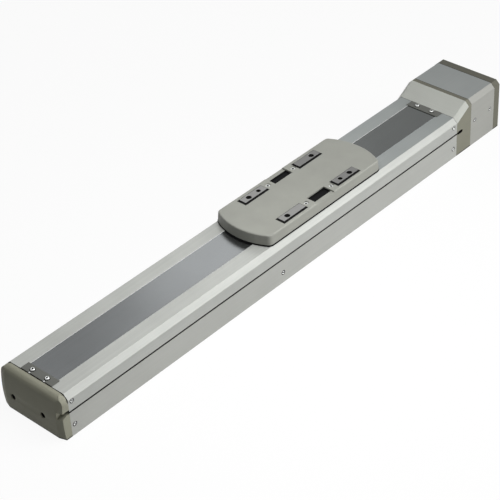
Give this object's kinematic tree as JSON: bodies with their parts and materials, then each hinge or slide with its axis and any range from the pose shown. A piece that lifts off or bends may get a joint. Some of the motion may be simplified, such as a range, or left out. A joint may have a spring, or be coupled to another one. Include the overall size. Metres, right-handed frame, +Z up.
{
  "type": "belt driven linear axis",
  "caption": "Long covered linear axis: a slider with four mounting pads runs on hidden rails along a stainless cover strip, pulled by a toothed belt from a motor housing at one end.",
  "frame": {"origin": "on the surface the axis stands on, below the middle of its whole length and width", "axes": "+X along the axis towards the motor end, +Z up"},
  "size_m": [1.105, 0.135, 0.1001],
  "materials": {
    "side_aluminium": "satin",
    "top_aluminium": "satin",
    "base_aluminium": "satin",
    "machined_aluminium": "satin",
    "painted_casting": "satin",
    "slider_plastic": "matte",
    "steel": "satin",
    "strip_steel": "satin",
    "clamp_steel": "satin",
    "screw_steel": "satin",
    "black_screws": "satin",
    "black_plastic": "matte",
    "rubber": "matte",
    "motor_paint": "satin",
    "roller_plastic": "satin"
  },
  "bodies": {
    "frame": {"base_frame": "base_aluminium", "side_cover_left": "side_aluminium", "side_cover_right": "side_aluminium", "top_cover_left": "top_aluminium", "top_cover_right": "top_aluminium", "side_screws": "screw_steel", "end_cap": "painted_casting", "cap_screws": "black_screws", "idler_block": "machined_aluminium", "idler_fork": "machined_aluminium", "tension_screws": "black_screws", "idler_axle": "steel", "guide_rails": "steel", "rail_screws": "black_screws", "end_stops": "rubber", "seal_strip": "strip_steel", "magnet_strips": "rubber", "strip_clamp_near": "clamp_steel", "strip_clamp_far": "clamp_steel", "strip_clamp_screws": "screw_steel", "drive_housing": "painted_casting", "slope_cover": "side_aluminium", "drive_bearings": "steel", "motor_tray": "machined_aluminium", "motor_bracket": "machined_aluminium", "motor_screws": "black_screws", "servo_motor": "motor_paint", "motor_encoder": "black_plastic", "motor_belt": "rubber", "motor_cover": "side_aluminium", "motor_cover_screws": "screw_steel", "end_plate": "painted_casting", "end_plate_screws": "black_screws", "cable_plug": "black_plastic", "main_belt": "rubber", "belt_run_near": "rubber", "belt_run_far": "rubber"},
    "slider": {"carriage_table": "machined_aluminium", "guide_blocks": "steel", "block_seals": "black_plastic", "belt_clamps": "machined_aluminium", "mounting_table": "machined_aluminium", "table_bolts": "black_screws", "slider_cover": "slider_plastic", "cover_screws": "screw_steel", "port_liners": "black_plastic", "roller_holders": "black_plastic"},
    "drive_wheels": {"drive_shaft": "steel", "drive_pulley": "machined_aluminium", "driven_wheel": "machined_aluminium"},
    "idler_wheel": {"idler_pulley": "machined_aluminium", "idler_bearings": "steel"},
    "motor_rotor": {"motor_shaft": "steel", "motor_pulley": "machined_aluminium"},
    "near_press_roller": {"press_roller_near": "roller_plastic"},
    "far_press_roller": {"press_roller_far": "roller_plastic"},
    "near_lift_roller": {"lift_roller_near": "roller_plastic"},
    "far_lift_roller": {"lift_roller_far": "roller_plastic"}
  },
  "joints": [
    {"name": "slider_travel", "type": "slide", "parent": "frame", "child": "slider", "axis": [1, 0, 0], "range_m": [-0.42325, 0.17675], "deforming": ["seal_strip", "main_belt", "belt_run_near", "belt_run_far"]},
    {"name": "drive_shaft_turn", "type": "hinge", "parent": "frame", "child": "drive_wheels", "pos_m": [0.441, 0, 0.038], "axis": [0, 1, 0], "continuous": true},
    {"name": "idler_turn", "type": "hinge", "parent": "frame", "child": "idler_wheel", "pos_m": [-0.4965, 0, 0.038], "axis": [0, 1, 0], "continuous": true},
    {"name": "motor_turn", "type": "hinge", "parent": "frame", "child": "motor_rotor", "pos_m": [0.50299, 0.052, 0.046], "axis": [0, 1, 0], "continuous": true, "deforming": ["motor_belt"]},
    {"name": "near_press_roller_turn", "type": "hinge", "parent": "slider", "child": "near_press_roller", "pos_m": [-0.07649, 0, 0.08325], "axis": [0, 1, 0], "continuous": true},
    {"name": "far_press_roller_turn", "type": "hinge", "parent": "slider", "child": "far_press_roller", "pos_m": [0.21149, 0, 0.08325], "axis": [0, 1, 0], "continuous": true},
    {"name": "near_lift_roller_turn", "type": "hinge", "parent": "slider", "child": "near_lift_roller", "pos_m": [-0.04449, 0, 0.08415], "axis": [0, 1, 0], "continuous": true},
    {"name": "far_lift_roller_turn", "type": "hinge", "parent": "slider", "child": "far_lift_roller", "pos_m": [0.17949, 0, 0.08415], "axis": [0, 1, 0], "continuous": true}
  ],
  "couplings": [
    {"joint": "drive_shaft_turn", "follows": "slider_travel", "rad_per_m": 52.36},
    {"joint": "idler_turn", "follows": "slider_travel", "rad_per_m": 52.36},
    {"joint": "motor_turn", "follows": "slider_travel", "rad_per_m": 52.36},
    {"joint": "near_press_roller_turn", "follows": "slider_travel", "rad_per_m": 198.02},
    {"joint": "far_press_roller_turn", "follows": "slider_travel", "rad_per_m": 198.02},
    {"joint": "near_lift_roller_turn", "follows": "slider_travel", "rad_per_m": -246.91},
    {"joint": "far_lift_roller_turn", "follows": "slider_travel", "rad_per_m": -246.91}
  ]
}
